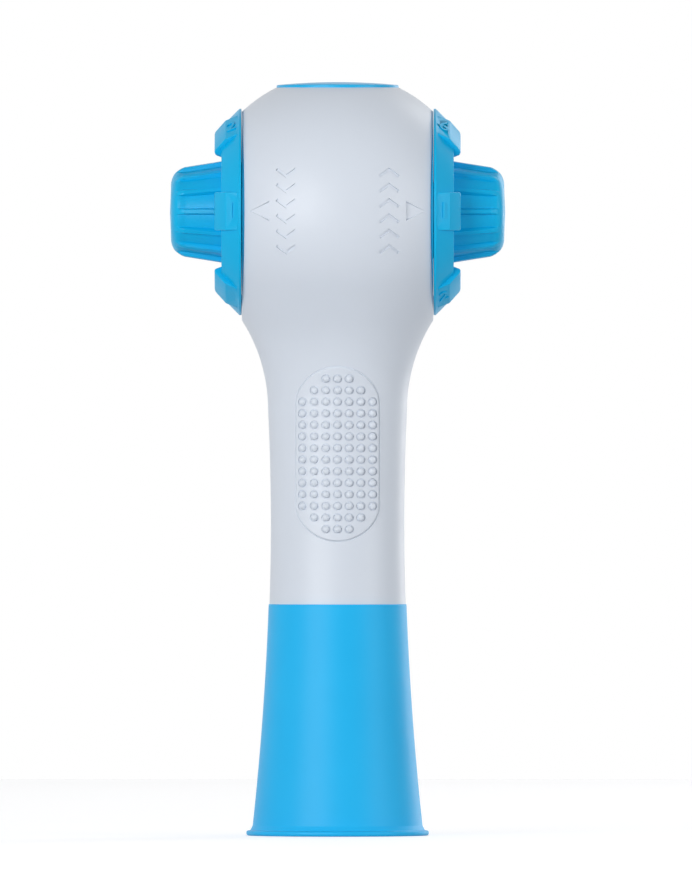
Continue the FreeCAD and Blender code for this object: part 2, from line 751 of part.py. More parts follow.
def main():
    os.makedirs("parts", exist_ok=True)
    front, rear = housing_halves()
    parts = {
        "housing_front": front,
        "housing_rear": rear,
        "top_cap": top_cap(),
        "air_duct": air_duct(),
        "spigot_o_ring": spigot_o_ring(),
        "mouthpiece": mouthpiece(),
    }
    # Breath drawn in lifts the inhale disc inwards, breath blown out lifts the
    # exhale disc outwards.
    for name, side, sign in (("inhale", -1, -1), ("exhale", 1, 1)):
        parts[name + "_valve_seat"] = on_side(valve_seat(), side)
        parts[name + "_valve_disc"] = on_side(valve_disc(sign), side)
        parts[name + "_valve_pin"] = on_side(valve_pin(sign), side)
        parts[name + "_port_plate"] = on_side(port_plate(), side)
        parts[name + "_port_seal"] = on_side(port_seal(), side)
        parts[name + "_arm_gasket"] = on_side(arm_gasket(), side)
        parts[name + "_click_ball"] = on_side(click_ball(), side)
        parts[name + "_click_spring"] = on_side(click_spring(), side)
        parts[name + "_dial"] = on_side(dial(), side)
        parts[name + "_dial_washer"] = on_side(dial_washer(), side)
        parts[name + "_dial_screw"] = on_side(dial_screw(), side)
    for node, shape in parts.items():
        solids = len(shape.Solids)
        print(node, solids, round(shape.Volume, 1), shape.isValid())
        shape.exportStep("parts/" + node + ".step")


main()
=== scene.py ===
# %% [markdown]
# # A breathing trainer, dressed for its portrait
#
# The trainer is a hand-held training aid: a white plastic handle with a ball
# head, a blue numbered dial on each side of the head, a small blue cap on top
# and a soft blue mouthpiece below. Its construction is already there, as a
# frame of solid parts. This file gives those parts their looks.
#
# The first cell loads the frame. Everything here is in metres and stands where
# the frame stands: X runs through the two dials, -Y is the front and Z is up.

# %% Load the frame
import json
import math

import bmesh
import bpy
from mathutils import Matrix, Vector


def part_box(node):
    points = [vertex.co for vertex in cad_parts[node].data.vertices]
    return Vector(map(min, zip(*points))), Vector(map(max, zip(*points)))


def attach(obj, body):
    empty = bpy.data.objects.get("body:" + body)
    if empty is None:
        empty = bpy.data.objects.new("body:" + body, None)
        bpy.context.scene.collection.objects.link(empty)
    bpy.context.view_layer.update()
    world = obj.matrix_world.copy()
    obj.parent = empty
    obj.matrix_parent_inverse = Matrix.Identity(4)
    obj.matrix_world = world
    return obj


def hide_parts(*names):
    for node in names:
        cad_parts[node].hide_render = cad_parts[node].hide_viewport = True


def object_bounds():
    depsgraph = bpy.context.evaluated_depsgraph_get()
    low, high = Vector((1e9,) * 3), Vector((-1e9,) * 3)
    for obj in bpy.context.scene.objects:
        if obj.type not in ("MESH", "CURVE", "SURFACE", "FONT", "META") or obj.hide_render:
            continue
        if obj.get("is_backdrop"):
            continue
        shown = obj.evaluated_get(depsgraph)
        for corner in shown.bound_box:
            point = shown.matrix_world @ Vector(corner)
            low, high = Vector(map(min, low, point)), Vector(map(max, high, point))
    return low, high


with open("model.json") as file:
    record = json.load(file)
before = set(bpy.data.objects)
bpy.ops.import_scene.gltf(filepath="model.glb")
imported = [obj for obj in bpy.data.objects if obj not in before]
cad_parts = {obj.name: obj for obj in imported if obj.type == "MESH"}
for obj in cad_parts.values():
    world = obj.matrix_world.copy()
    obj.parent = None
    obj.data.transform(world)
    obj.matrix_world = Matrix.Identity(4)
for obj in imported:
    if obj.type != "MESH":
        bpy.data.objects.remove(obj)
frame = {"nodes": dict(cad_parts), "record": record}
cad_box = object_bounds()

# %% [markdown]
# Sizes are easier to read in millimetres, so they are written that way and
# multiplied by MM where a mesh is made. The few that follow are read off the
# frame, so that the dressed part always sits where the solid one does.

# %% Sizes from the frame
MM = 0.001


def frame_box(node):
    """A part's lowest and highest corners, in millimetres."""
    low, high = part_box(node)
    return low / MM, high / MM


mouth_top = frame_box("mouthpiece")[1]
dial_low, dial_high = frame_box("exhale_dial")

AXIS_Z = (dial_low.z + dial_high.z) / 2
SEAM_Z = mouth_top.z
FLANGE_RADIUS = mouth_top.x
DIAL_RIM_RADIUS = (dial_high.z - dial_low.z) / 2
KNOB_END_OUT = dial_high.x
CAP_TOP_Z = frame_box("top_cap")[1].z
print("dial axis at", round(AXIS_Z, 2), "mm, seam at", round(SEAM_Z, 2), "mm")

# %% [markdown]
# ## Camera
#
# The photograph was taken level with the part and from far away, because the
# seam under the handle is a straight line and nothing tapers. A very long lens
# six metres off does the same. It stands no farther off, because in the views
# from other sides everything beyond about nine metres is cut away. The picture
# is 692 pixels wide and 883 high, and the part's own size in it gives the
# millimetres per pixel.

# %% Camera
PICTURE_WIDTH = 692
PICTURE_HEIGHT = 883
MM_PER_PIXEL = 0.2165
OBJECT_CENTRE_PX = 337.6
OBJECT_FOOT_PX = 835.5
CAMERA_DISTANCE = 6000.0
CAMERA_SEES_FROM_M = 0.1
CAMERA_SEES_TO_M = 50
SENSOR = 36.0

camera_data = bpy.data.cameras.new("portrait_camera")
camera = bpy.data.objects.new("portrait_camera", camera_data)
bpy.context.scene.collection.objects.link(camera)
bpy.context.scene.camera = camera
camera_data.sensor_width = SENSOR
camera_data.lens = SENSOR * CAMERA_DISTANCE / (PICTURE_HEIGHT * MM_PER_PIXEL)
camera_x = (PICTURE_WIDTH / 2 - OBJECT_CENTRE_PX) * MM_PER_PIXEL
camera_z = (OBJECT_FOOT_PX - PICTURE_HEIGHT / 2) * MM_PER_PIXEL
camera.location = Vector((camera_x, -CAMERA_DISTANCE, camera_z)) * MM
camera.rotation_euler = (math.radians(90), 0, 0)
camera_data.clip_start = CAMERA_SEES_FROM_M
camera_data.clip_end = CAMERA_SEES_TO_M
print("lens", round(camera_data.lens), "mm at", CAMERA_DISTANCE * MM, "m")

# %% [markdown]
# ## Writing shader maths as sums
#
# A material is a web of nodes. Wiring it by hand hides the idea, so a small
# class wraps a socket and lets Python's own operators add the Math nodes:
# 1 - mask really is one minus the mask. Everything else that a material needs
# comes from one method that makes a node, sets it up and fills its sockets.


# %% Sockets that add up
class Flow:
    """One output socket. Sums with it add Math nodes to its wiring."""

    def __init__(self, wiring, socket):
        self.wiring = wiring
        self.socket = socket

    def _math(self, operation, first, second):
        return self.wiring.node("ShaderNodeMath", {"operation": operation}, {0: first, 1: second})

    def __add__(self, other):
        return self._math("ADD", self, other)

    def __radd__(self, other):
        return self._math("ADD", other, self)

    def __sub__(self, other):
        return self._math("SUBTRACT", self, other)

    def __rsub__(self, other):
        return self._math("SUBTRACT", other, self)

    def __mul__(self, other):
        return self._math("MULTIPLY", self, other)

    def __rmul__(self, other):
        return self._math("MULTIPLY", other, self)


class Wiring:
    """A web of nodes under construction, for a material or for the world."""

    def __init__(self, tree):
        self.tree = tree
        self.tree.nodes.clear()

    def node(self, kind, settings=None, inputs=None, output=0):
        """Make a node of a kind, set it up, fill its sockets, return one output."""
        made = self.tree.nodes.new(kind)
        for key, value in (settings or {}).items():
            setattr(made, key, value)
        for key, value in (inputs or {}).items():
            self.fill(made.inputs[key], value)
        return Flow(self, made.outputs[output])

    def fill(self, socket, value):
        """A socket takes a link from a Flow, or a plain value."""
        if isinstance(value, Flow):
            self.tree.links.new(value.socket, socket)
        else:
            socket.default_value = value


class Paint(Wiring):
    """A material under construction, with its Principled shader."""

    def __init__(self, name):
        self.material = bpy.data.materials.new(name)
        self.material.use_nodes = True
        super().__init__(self.material.node_tree)
        self.shader = self.tree.nodes.new("ShaderNodeBsdfPrincipled")
        self.output = self.tree.nodes.new("ShaderNodeOutputMaterial")
        self.tree.links.new(self.shader.outputs[0], self.output.inputs[0])

    def set(self, **sockets):
        """Fill the Principled shader's sockets, named with underscores."""
        for key, value in sockets.items():
            self.fill(self.shader.inputs[key.replace("_", " ")], value)

    def place(self):
        """Where a point is on the part, in metres. It rides with the part."""
        return self.node("ShaderNodeTexCoord", output="Object")

    def noise(self, size_mm, detail, where=None):
        """Soft random values from 0 to 1, in blobs of about a size."""
        vector = where or self.place()
        inputs = {"Vector": vector, "Scale": 1 / (size_mm * MM), "Detail": detail}
        return self.node("ShaderNodeTexNoise", {}, inputs, "Fac")

    def shades(self, amount, dark, light):
        """A colour between two, by an amount from 0 to 1."""
        settings = {"data_type": "RGBA"}
        inputs = {0: amount, 6: (*dark, 1), 7: (*light, 1)}
        return self.node("ShaderNodeMix", settings, inputs, 2)

    def bump(self, height, depth_mm):
        """A normal from a height of 0 to 1 that stands for a depth."""
        inputs = {"Height": height, "Distance": depth_mm * MM, "Strength": 1.0}
        return self.node("ShaderNodeBump", {}, inputs)


print("shader helpers ready")

# %% [markdown]
# ## Finishes
#
# The shell is a satin moulded plastic. Up close such plastic isn't flat: the
# steel mould was spark-eroded, which leaves a very fine grain, the colour
# drifts a little with the flow of the melt, and handling polishes some spots.
# Three sizes of noise make those three things.

# %% Moulded plastic
DRIFT_MM = 22.0
HANDLED_MM = 7.0
GRAIN_MM = 0.16
GRAIN_DEPTH_MM = 0.004
DRIFT_SHARE = 0.7
GRAIN_SHARE = 0.3
ROUGHNESS_SPAN = 0.1


def moulded_plastic(name, dark, light, roughness, gloss=0.5):
    """Two near shades, a roughness and how strongly the surface mirrors."""
    paint = Paint(name)
    drift = paint.noise(DRIFT_MM, 3.0)
    grain = paint.noise(GRAIN_MM, 3.0)
    handled = paint.noise(HANDLED_MM, 4.0)
    paint.set(
        Base_Color=paint.shades(drift * DRIFT_SHARE + grain * GRAIN_SHARE, dark, light),
        Roughness=roughness - ROUGHNESS_SPAN / 2 + handled * ROUGHNESS_SPAN,
        Normal=paint.bump(grain, GRAIN_DEPTH_MM),
        Specular_IOR_Level=gloss,
    )
    return paint.material


shell_white = moulded_plastic("satin_white_shell", (0.660, 0.710, 0.785), (0.700, 0.750, 0.825), 0.42)
dial_blue = moulded_plastic("satin_blue_dial", (0.000, 0.430, 0.765), (0.002, 0.470, 0.825), 0.34, 0.2)
cap_blue = moulded_plastic("satin_blue_cap", (0.006, 0.400, 0.740), (0.010, 0.450, 0.800), 0.36, 0.35)
# The port plate's blue is darker than the dial's: painted shade for the crescent of plate between dial
# and shell, which lies in shadow.
plate_blue_painted_shade = moulded_plastic("satin_blue_plate_painted_shade", (0.000, 0.390, 0.700), (0.002, 0.430, 0.760), 0.38, 0.25)
duct_blue = moulded_plastic("satin_blue_duct", (0.002, 0.360, 0.680), (0.004, 0.400, 0.740), 0.38, 0.3)
natural = moulded_plastic("natural_plastic", (0.64, 0.66, 0.66), (0.72, 0.74, 0.74), 0.45)
print("moulded plastics made")

# %% [markdown]
# Silicone rubber is softer to look at. It takes a faint velvety bloom, which a
# little sheen gives, and its grain is shallower and rounder than that of plastic.

# %% Silicone
RUBBER_DRIFT_MM = 16.0
RUBBER_GRAIN_MM = 0.3
RUBBER_GRAIN_DEPTH_MM = 0.003
RUBBER_ROUGHNESS_SPAN = 0.08


def silicone(name, dark, light, roughness, sheen):
    """Two near shades, a roughness and how much bloom the rubber has."""
    paint = Paint(name)
    drift = paint.noise(RUBBER_DRIFT_MM, 2.0)
    grain = paint.noise(RUBBER_GRAIN_MM, 2.0)
    paint.set(
        Base_Color=paint.shades(drift, dark, light),
        Roughness=roughness - RUBBER_ROUGHNESS_SPAN / 2 + grain * RUBBER_ROUGHNESS_SPAN,
        Normal=paint.bump(grain, RUBBER_GRAIN_DEPTH_MM),
        Sheen_Weight=sheen,
        Sheen_Roughness=0.5,
        Specular_IOR_Level=0.3,
    )
    return paint.material


mouth_blue = silicone("soft_blue_silicone", (0.004, 0.455, 0.870), (0.010, 0.500, 0.920), 0.46, 0.03)
milky = silicone("milky_silicone", (0.68, 0.72, 0.74), (0.76, 0.79, 0.80), 0.4, 0.1)
print("silicones made")

# %% [markdown]
# The springs, balls, washers and screws are stainless steel. Long thin noise
# along one way stands for the lines that rolling and drawing leave.

# %% Stainless steel
LINE_LENGTH_MM = 1.2
LINE_STRETCH = 14.0
LINE_DEPTH_MM = 0.002


def stainless_steel(name):
    """A grey metal that is rougher where the drawing lines are pale."""
    paint = Paint(name)
    inputs = {"Vector": paint.place(), "Scale": (1.0, LINE_STRETCH, 1.0)}
    stretched = paint.node("ShaderNodeMapping", {}, inputs)
    lines = paint.noise(LINE_LENGTH_MM, 4.0, stretched)
    paint.set(
        Base_Color=paint.shades(lines, (0.52, 0.53, 0.55), (0.66, 0.67, 0.69)),
        Metallic=1.0,
        Roughness=0.22 + lines * 0.14,
        Normal=paint.bump(lines, LINE_DEPTH_MM),
    )
    return paint.material


steel = stainless_steel("drawn_stainless_steel")
print("steel made")

# %% [markdown]
# ## Small mesh tools
#
# Most of this part is turned: round about the upright axis or about the dial
# axis. A turned form is an outline of (radius, height) points swept round. The
# outline's corners are rounded first, since no moulded edge is truly sharp.

# %% Outlines with round corners
NEARLY_STRAIGHT = math.radians(89.5)
LONGEST_REACH = 0.48


def rounded(corners, steps=5):
    """A closed outline from (radius, height, rounding) corners, with arcs at them."""
    outline = []
    count = len(corners)
    for index, (x, y, rounding) in enumerate(corners):
        here = Vector((x, y))
        back = Vector(corners[index - 1][:2]) - here
        ahead = Vector(corners[(index + 1) % count][:2]) - here
        turn = back.angle(ahead) / 2
        if rounding == 0 or turn > NEARLY_STRAIGHT:
            outline.append((x, y))
            continue
        reach = min(rounding / math.tan(turn), LONGEST_REACH * back.length, LONGEST_REACH * ahead.length)
        radius = reach * math.tan(turn)
        centre = here + (back.normalized() + ahead.normalized()).normalized() * (radius / math.sin(turn))
        start = here + back.normalized() * reach - centre
        end = here + ahead.normalized() * reach - centre
        sweep = start.angle_signed(end)
        for step in range(steps + 1):
            arm = start.copy()
            arm.rotate(Matrix.Rotation(-sweep * step / steps, 2))
            outline.append(tuple(centre + arm))
    return outline


def arc_through(start, middle, end, steps):
    """Points on the arc from start through middle to end, without its last point."""
    (ax, ay), (bx, by), (cx, cy) = start, middle, end
    double = 2 * (ax * (by - cy) + bx * (cy - ay) + cx * (ay - by))
    squares = (ax * ax + ay * ay, bx * bx + by * by, cx * cx + cy * cy)
    x = (squares[0] * (by - cy) + squares[1] * (cy - ay) + squares[2] * (ay - by)) / double
    y = (squares[0] * (cx - bx) + squares[1] * (ax - cx) + squares[2] * (bx - ax)) / double
    radius = math.hypot(ax - x, ay - y)
    first = math.atan2(ay - y, ax - x)
    turn = math.remainder(math.atan2(cy - y, cx - x) - first, 2 * math.pi)
    angles = [first + turn * step / steps for step in range(steps)]
    return [(x + radius * math.cos(a), y + radius * math.sin(a)) for a in angles]


print("outline tools ready")

# %% [markdown]
# A mesh is made from rings of points. A full turn closes on itself, and a half
# turn, such as one half of the shell, gets a flat face at each end. Points come
# from a function, so a form may depart from a plain turned one. Points that
# fall together on the axis become one, and the bare edges left there go.

# %% Turned meshes
SAME_POINT_M = 1e-8


def mesh_object(name, vertices, faces):
    """An object from points in millimetres and faces, with outward normals."""
    mesh = bpy.data.meshes.new(name)
    mesh.from_pydata([Vector(v) * MM for v in vertices], [], faces)
    made = bmesh.new()
    made.from_mesh(mesh)
    bmesh.ops.remove_doubles(made, verts=made.verts, dist=SAME_POINT_M)
    on_axis = [edge for edge in made.edges if not edge.link_faces]
    bmesh.ops.delete(made, geom=on_axis, context="EDGES")
    bmesh.ops.recalc_face_normals(made, faces=made.faces)
    made.to_mesh(mesh)
    made.free()
    shape = bpy.data.objects.new(name, mesh)
    bpy.context.scene.collection.objects.link(shape)
    return shape


def swept(name, rings, closed):
    """A closed solid from rings of points; a sweep that isn't closed gets end faces."""
    size = len(rings[0])
    vertices = [point for ring in rings for point in ring]
    faces = []
    spans = len(rings) if closed else len(rings) - 1
    for ring in range(spans):
        base = ring * size
        following = ((ring + 1) % len(rings)) * size
        for step in range(size):
            beside = (step + 1) % size
            faces.append((base + step, base + beside, following + beside, following + step))
    if not closed:
        faces.append(tuple(range(size)))
        faces.append(tuple(range(len(vertices) - size, len(vertices))))
    return mesh_object(name, vertices, faces)


def turned(name, outline, steps, bend=None):
    """A full turn of an outline about Z. bend(radius, height, angle) may change a radius."""
    rings = []
    for step in range(steps):
        angle = 2 * math.pi * step / steps
        ring = []
        for radius, height in outline:
            reach = bend(radius, height, angle) if bend else radius
            ring.append((reach * math.sin(angle), -reach * math.cos(angle), height))
        rings.append(ring)
    return swept(name, rings, True)


print("turning tools ready")

# %% [markdown]
# Some forms are added to or cut from others. Blender's Boolean modifier does
# it, and its result replaces the mesh, so that a plain mesh is left. Shading is
# smooth, apart from edges that turn by more than a given angle.


# %% Joining, cutting and finishing
def evaluated_mesh(shape):
    """The mesh that an object has once its modifiers have run."""
    graph = bpy.context.evaluated_depsgraph_get()
    return bpy.data.meshes.new_from_object(shape.evaluated_get(graph))


def combine(target, tool, operation):
    """Add a tool to the target or cut it away, and throw the tool away."""
    modifier = target.modifiers.new("combine", "BOOLEAN")
    modifier.operation = operation
    modifier.object = tool
    modifier.solver = "EXACT"
    target.data = evaluated_mesh(target)
    target.modifiers.clear()
    bpy.data.objects.remove(tool)


def merged(name, shapes):
    """Several separate meshes as one object."""
    made = bmesh.new()
    for shape in shapes:
        copy = shape.data.copy()
        copy.transform(shape.matrix_world)
        made.from_mesh(copy)
        bpy.data.objects.remove(shape)
    mesh = bpy.data.meshes.new(name)
    made.to_mesh(mesh)
    made.free()
    whole = bpy.data.objects.new(name, mesh)
    bpy.context.scene.collection.objects.link(whole)
    return whole


SHARP_DEG = 35


def dressed(piece, material, body, nodes):
    """Give a piece its shading, finish, body, slot and the parts it stands for."""
    mesh = piece.data
    mesh.materials.clear()
    mesh.materials.append(material)
    mesh.polygons.foreach_set("material_index", [0] * len(mesh.polygons))
    mesh.shade_smooth()
    mesh.set_sharp_from_angle(angle=math.radians(SHARP_DEG))
    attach(piece, body)
    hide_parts(*nodes)
    print(piece.name, len(mesh.polygons), "faces")


print("joining tools ready")

# %% [markdown]
# ## The white shell
#
# The real housing is two mouldings that meet in a fine line at the sides. Its
# outline is a ball that runs into a straight 32 degree shoulder, a hollow neck
# and a slim, slightly waisted handle. It is a little shallower than it is wide.
# The outline is worked out from those few sizes, with the neck and shoulder
# tangent to what they join, and every later mark on the shell asks the same
# outline where the surface is.

# %% The shell's outline
HEAD_RADIUS = 30.0
SHELL_DEPTH_RATIO = 0.973
SHELL_WALL = 1.8
SHOULDER_SLOPE = math.radians(32.0)
NECK_RADIUS = 36.0
HANDLE_TOP_RADIUS = 15.05
HANDLE_WAIST = (14.45, 68.0)
HANDLE_FOOT_RADIUS = 14.75
CAP_OPENING_RADIUS = 13.35
SURFACE_STEPS = 48


def shell_outline(inset, top_radius, steps):
    """The shell's outline from the handle's foot up to a radius near the crown."""
    ball = HEAD_RADIUS - inset
    neck = NECK_RADIUS + inset
    handle = HANDLE_TOP_RADIUS - inset
    foot_x = ball * math.cos(SHOULDER_SLOPE)
    foot_z = AXIS_Z - ball * math.sin(SHOULDER_SLOPE)
    corner_z = foot_z - (foot_x - handle) / math.tan(SHOULDER_SLOPE)
    reach = neck * math.tan(SHOULDER_SLOPE / 2)
    neck_low = corner_z - reach
    outline = arc_through(
        (HANDLE_FOOT_RADIUS - inset, SEAM_Z),
        (HANDLE_WAIST[0] - inset, HANDLE_WAIST[1]),
        (handle, neck_low), steps)
    for step in range(steps):
        angle = SHOULDER_SLOPE * step / steps
        outline.append((handle + neck - neck * math.cos(angle), neck_low + neck * math.sin(angle)))
    neck_top = (handle + reach * math.sin(SHOULDER_SLOPE), corner_z + reach * math.cos(SHOULDER_SLOPE))
    for step in range(steps // 3):
        share = step / (steps // 3)
        outline.append((
            neck_top[0] + (foot_x - neck_top[0]) * share,
            neck_top[1] + (foot_z - neck_top[1]) * share))
    last = math.acos(top_radius / ball)
    for step in range(2 * steps + 1):
        angle = -SHOULDER_SLOPE + (last + SHOULDER_SLOPE) * step / (2 * steps)
        outline.append((ball * math.cos(angle), AXIS_Z + ball * math.sin(angle)))
    return outline


surface_outline = shell_outline(0, 0.0, SURFACE_STEPS)


def shell_radius(z):
    """The shell's outside radius at a height."""
    for (low_r, low_z), (high_r, high_z) in zip(surface_outline, surface_outline[1:]):
        if low_z <= z <= high_z:
            return low_r + (high_r - low_r) * (z - low_z) / (high_z - low_z)
    return surface_outline[0][0]


def on_shell(x, z, lift, facing=-1):
    """The point of the shell's front (or rear) at x and z, lifted off along its normal."""
    def depth(px, pz):
        squared = shell_radius(pz) ** 2 - px ** 2
        return SHELL_DEPTH_RATIO * math.sqrt(max(squared, 0.01))
    small = 0.05
    y = depth(x, z)
    slope_x = (depth(x + small, z) - depth(x - small, z)) / (2 * small)
    slope_z = (depth(x, z + small) - depth(x, z - small)) / (2 * small)
    normal = Vector((-slope_x, 1, -slope_z)).normalized()
    point = Vector((x, y, z)) + normal * lift
    return Vector((point.x, facing * point.y, point.z))


print("shell outline has", len(surface_outline), "points")

# %% [markdown]
# Each half of the shell is the outline and its inset copy, swept through half a
# turn. The edge along the parting line is drawn in by a tenth of a millimetre,
# which leaves the fine line that two real mouldings show. The sides are then
# opened for the dials and the top for the cap.

# %% One half of the shell
PORT_OPENING_RADIUS = 21.7
PORT_OPENING_OUT = 20.72
PARTING_DRAW_IN = 0.10
PARTING_EDGE_DEG = 0.35
CAP_LIP_RADIUS = 12.4
CAP_LIP_LOW = 159.3
CAP_LIP_HIGH = 160.9
INSIDE_TOP_RADIUS = 12.6
DUCT_HOLE_RADIUS = 9.45
FOOT_WALL = 1.8
OUTSIDE_STEPS = 36
INSIDE_STEPS = 12
HALF_TURN_STEPS = 120
OPENING_FROM_OUT = 15.8
OPENING_STEPS = 192


def half_shell(name, facing):
    """Half of the shell, open inside, on the front (-1) or the rear (+1)."""
    outer = shell_outline(0, CAP_OPENING_RADIUS, OUTSIDE_STEPS)
    inner = shell_outline(SHELL_WALL, INSIDE_TOP_RADIUS, INSIDE_STEPS)
    inner = [(r, z) for r, z in inner if SEAM_Z + FOOT_WALL < z < CAP_LIP_LOW]
    lip = [(CAP_OPENING_RADIUS, CAP_LIP_HIGH), (CAP_LIP_RADIUS, CAP_LIP_HIGH),
           (CAP_LIP_RADIUS, CAP_LIP_LOW)]
    floor = [(inner[0][0], SEAM_Z + FOOT_WALL), (DUCT_HOLE_RADIUS, SEAM_Z + FOOT_WALL),
             (DUCT_HOLE_RADIUS, SEAM_Z)]
    steps = HALF_TURN_STEPS
    angles = [PARTING_EDGE_DEG + (180 - 2 * PARTING_EDGE_DEG) * i / steps for i in range(steps + 1)]
    rings = []
    for degrees in [0.0] + angles + [180.0]:
        drawn = PARTING_DRAW_IN if degrees in (0.0, 180.0) else 0.0
        angle = math.radians(degrees)
        across, depth = math.cos(angle), facing * SHELL_DEPTH_RATIO * math.sin(angle)
        ring = [((r - drawn) * across, (r - drawn) * depth, z) for r, z in outer]
        ring += [(r * across, r * depth, z) for r, z in lip + inner[::-1] + floor]
        rings.append(ring)
    return swept(name, rings, False)


def side_matrix(side):
    """Takes a form built along Z to the dial axis, on side +1 or -1."""
    place = Matrix.Translation(Vector((0, 0, AXIS_Z)) * MM)
    return place @ Matrix.Rotation(math.radians(90 * side), 4, "Y")


def opening_cutter(side):
    """A round hole for the port plate, and everything that is farther out."""
    beyond = 2 * HEAD_RADIUS
    outline = [(0, OPENING_FROM_OUT), (PORT_OPENING_RADIUS, OPENING_FROM_OUT),
               (PORT_OPENING_RADIUS, PORT_OPENING_OUT), (beyond, PORT_OPENING_OUT),
               (beyond, beyond), (0, beyond)]
    cutter = turned("opening_cutter", outline, OPENING_STEPS)
    cutter.data.transform(side_matrix(side))
    return cutter


shell_front = half_shell("shell_front", -1)
shell_rear = half_shell("shell_rear", 1)
for half in (shell_front, shell_rear):
    for side in (-1, 1):
        combine(half, opening_cutter(side), "DIFFERENCE")
    print(half.name, "opened,", len(half.data.polygons), "faces")

# %% [markdown]
# ## Marks in the shell
#
# A pointer beside each dial shows which number is set, and a strip of marks
# tells the way the air goes: down to the mouth on the inhale side, up and away
# on the exhale side. They are shallow pockets. Each pocket is cut by a small
# block whose floor and top follow the shell, so that it is equally deep all
# over, even where the ball falls away to the side.

# %% Pockets that follow the surface
MARK_DEPTH = 0.32
MARK_CELL = 0.6
DRAFT_SHARE = 0.06
ABOVE_SURFACE = 0.25


def strip(start, end, width_start, width_end):
    """A straight stroke as rows of left and right points, in the (x, z) plane."""
    start, end = Vector(start), Vector(end)
    along = end - start
    across = Vector((-along.y, along.x)).normalized()
    count = max(2, round(along.length / MARK_CELL))
    rows = []
    for step in range(count + 1):
        share = step / count
        half = (width_start + (width_end - width_start) * share) / 2
        middle = start + along * share
        rows.append((middle + across * half, middle - across * half))
    return rows


def pocket_cutter(name, rows, depths=(MARK_DEPTH, MARK_DEPTH), columns=4):
    """A block between pairs of edges, from above the surface to a depth below it."""
    rings = []
    for row, (left, right) in enumerate(rows):
        depth = depths[0] + (depths[1] - depths[0]) * row / (len(rows) - 1)
        upper = []
        lower = []
        for column in range(columns + 1):
            spot = left.lerp(right, column / columns)
            inner = left.lerp(right, DRAFT_SHARE + (1 - 2 * DRAFT_SHARE) * column / columns)
            upper.append(on_shell(spot.x, spot.y, ABOVE_SURFACE))
            lower.append(on_shell(inner.x, inner.y, -depth))
        rings.append(upper + lower[::-1])
    return swept(name, rings, False)


def elbow(points, width):
    """A bent stroke through three points, mitred at the bend."""
    start, bend, end = (Vector(p) for p in points)
    first = (bend - start).normalized()
    second = (end - bend).normalized()
    beside = Vector((-first.y, first.x))
    mitre = (beside + Vector((-second.y, second.x))).normalized()
    mitre *= width / 2 / mitre.dot(beside)
    rows = strip(start, bend, width, width)[:-1]
    rows.append((bend + mitre, bend - mitre))
    rows += strip(bend, end, width, width)[1:]
    return rows


print("pocket tools ready")

# %% Pointers and flow marks
POINTER_APEX_X = 18.8
POINTER_BASE_X = 14.8
POINTER_BASE_WIDTH = 4.5
POINTER_APEX_WIDTH = 0.12
POINTER_DEPTHS = (0.5, 0.12)
POINTER_COLUMNS = 8
FLOW_X = 11.1
FLOW_HALF_WIDTH = 2.05
FLOW_RISE = 1.5
FLOW_STROKE = 0.66
FLOW_PITCH = 3.3
FLOW_COUNT = 6

marks = []
for side in (-1, 1):
    pointer = strip(
        (side * POINTER_BASE_X, AXIS_Z), (side * POINTER_APEX_X, AXIS_Z),
        POINTER_BASE_WIDTH, POINTER_APEX_WIDTH)
    marks.append(pocket_cutter("pointer", pointer, POINTER_DEPTHS, POINTER_COLUMNS))
    for step in range(FLOW_COUNT):
        z = AXIS_Z + (step - (FLOW_COUNT - 1) / 2) * FLOW_PITCH
        x = side * FLOW_X
        rise = side * FLOW_RISE / 2
        marks.append(pocket_cutter("flow_mark", elbow(
            ((x - FLOW_HALF_WIDTH, z - rise), (x, z + rise), (x + FLOW_HALF_WIDTH, z - rise)),
            FLOW_STROKE)))
mark_count = len(marks)
combine(shell_front, merged("marks", marks), "DIFFERENCE")
print(mark_count, "marks cut")

# %% [markdown]
# ## The grip
#
# The grip is a panel that stands a little proud on the front of the handle, and
# the same again on the rear. It has straight sides and ends in two arcs. A fine
# groove runs round it. The panel is a skin of the shell's own surface, lifted
# off along its normal, with less lift near its border, which rounds its edge.

# %% Grip panel and groove
GRIP_MIDDLE_Z = 82.6
GRIP_LENGTH = 37.6
GRIP_HALF_WIDTH = 8.85
GRIP_END_RADIUS = 9.2
GRIP_CORNER = 0.35
GRIP_RISE = 0.35
GRIP_EDGE = 0.3
GRIP_GROOVE = 0.34
GRIP_GROOVE_DEPTH = 0.14
GROOVE_OVERLAP = 0.1
GROOVE_LIFT = 0.05
GROOVE_STEPS = 80
PANEL_ROWS = 150
PANEL_COLUMNS = 72


def grip_half_width(z, grow=0.0):
    """Half the panel's width at a height, with the panel grown by an amount."""
    end_centre = GRIP_LENGTH / 2 - GRIP_END_RADIUS
    past = abs(z - GRIP_MIDDLE_Z) - end_centre
    radius = GRIP_END_RADIUS + grow
    side = GRIP_HALF_WIDTH + grow
    if past <= 0:
        return side
    arc_width = math.sqrt(max(radius ** 2 - past ** 2, 0.0))
    blend = max(GRIP_CORNER - abs(arc_width - side), 0.0)
    return min(arc_width, side) - blend ** 2 / (4 * GRIP_CORNER)


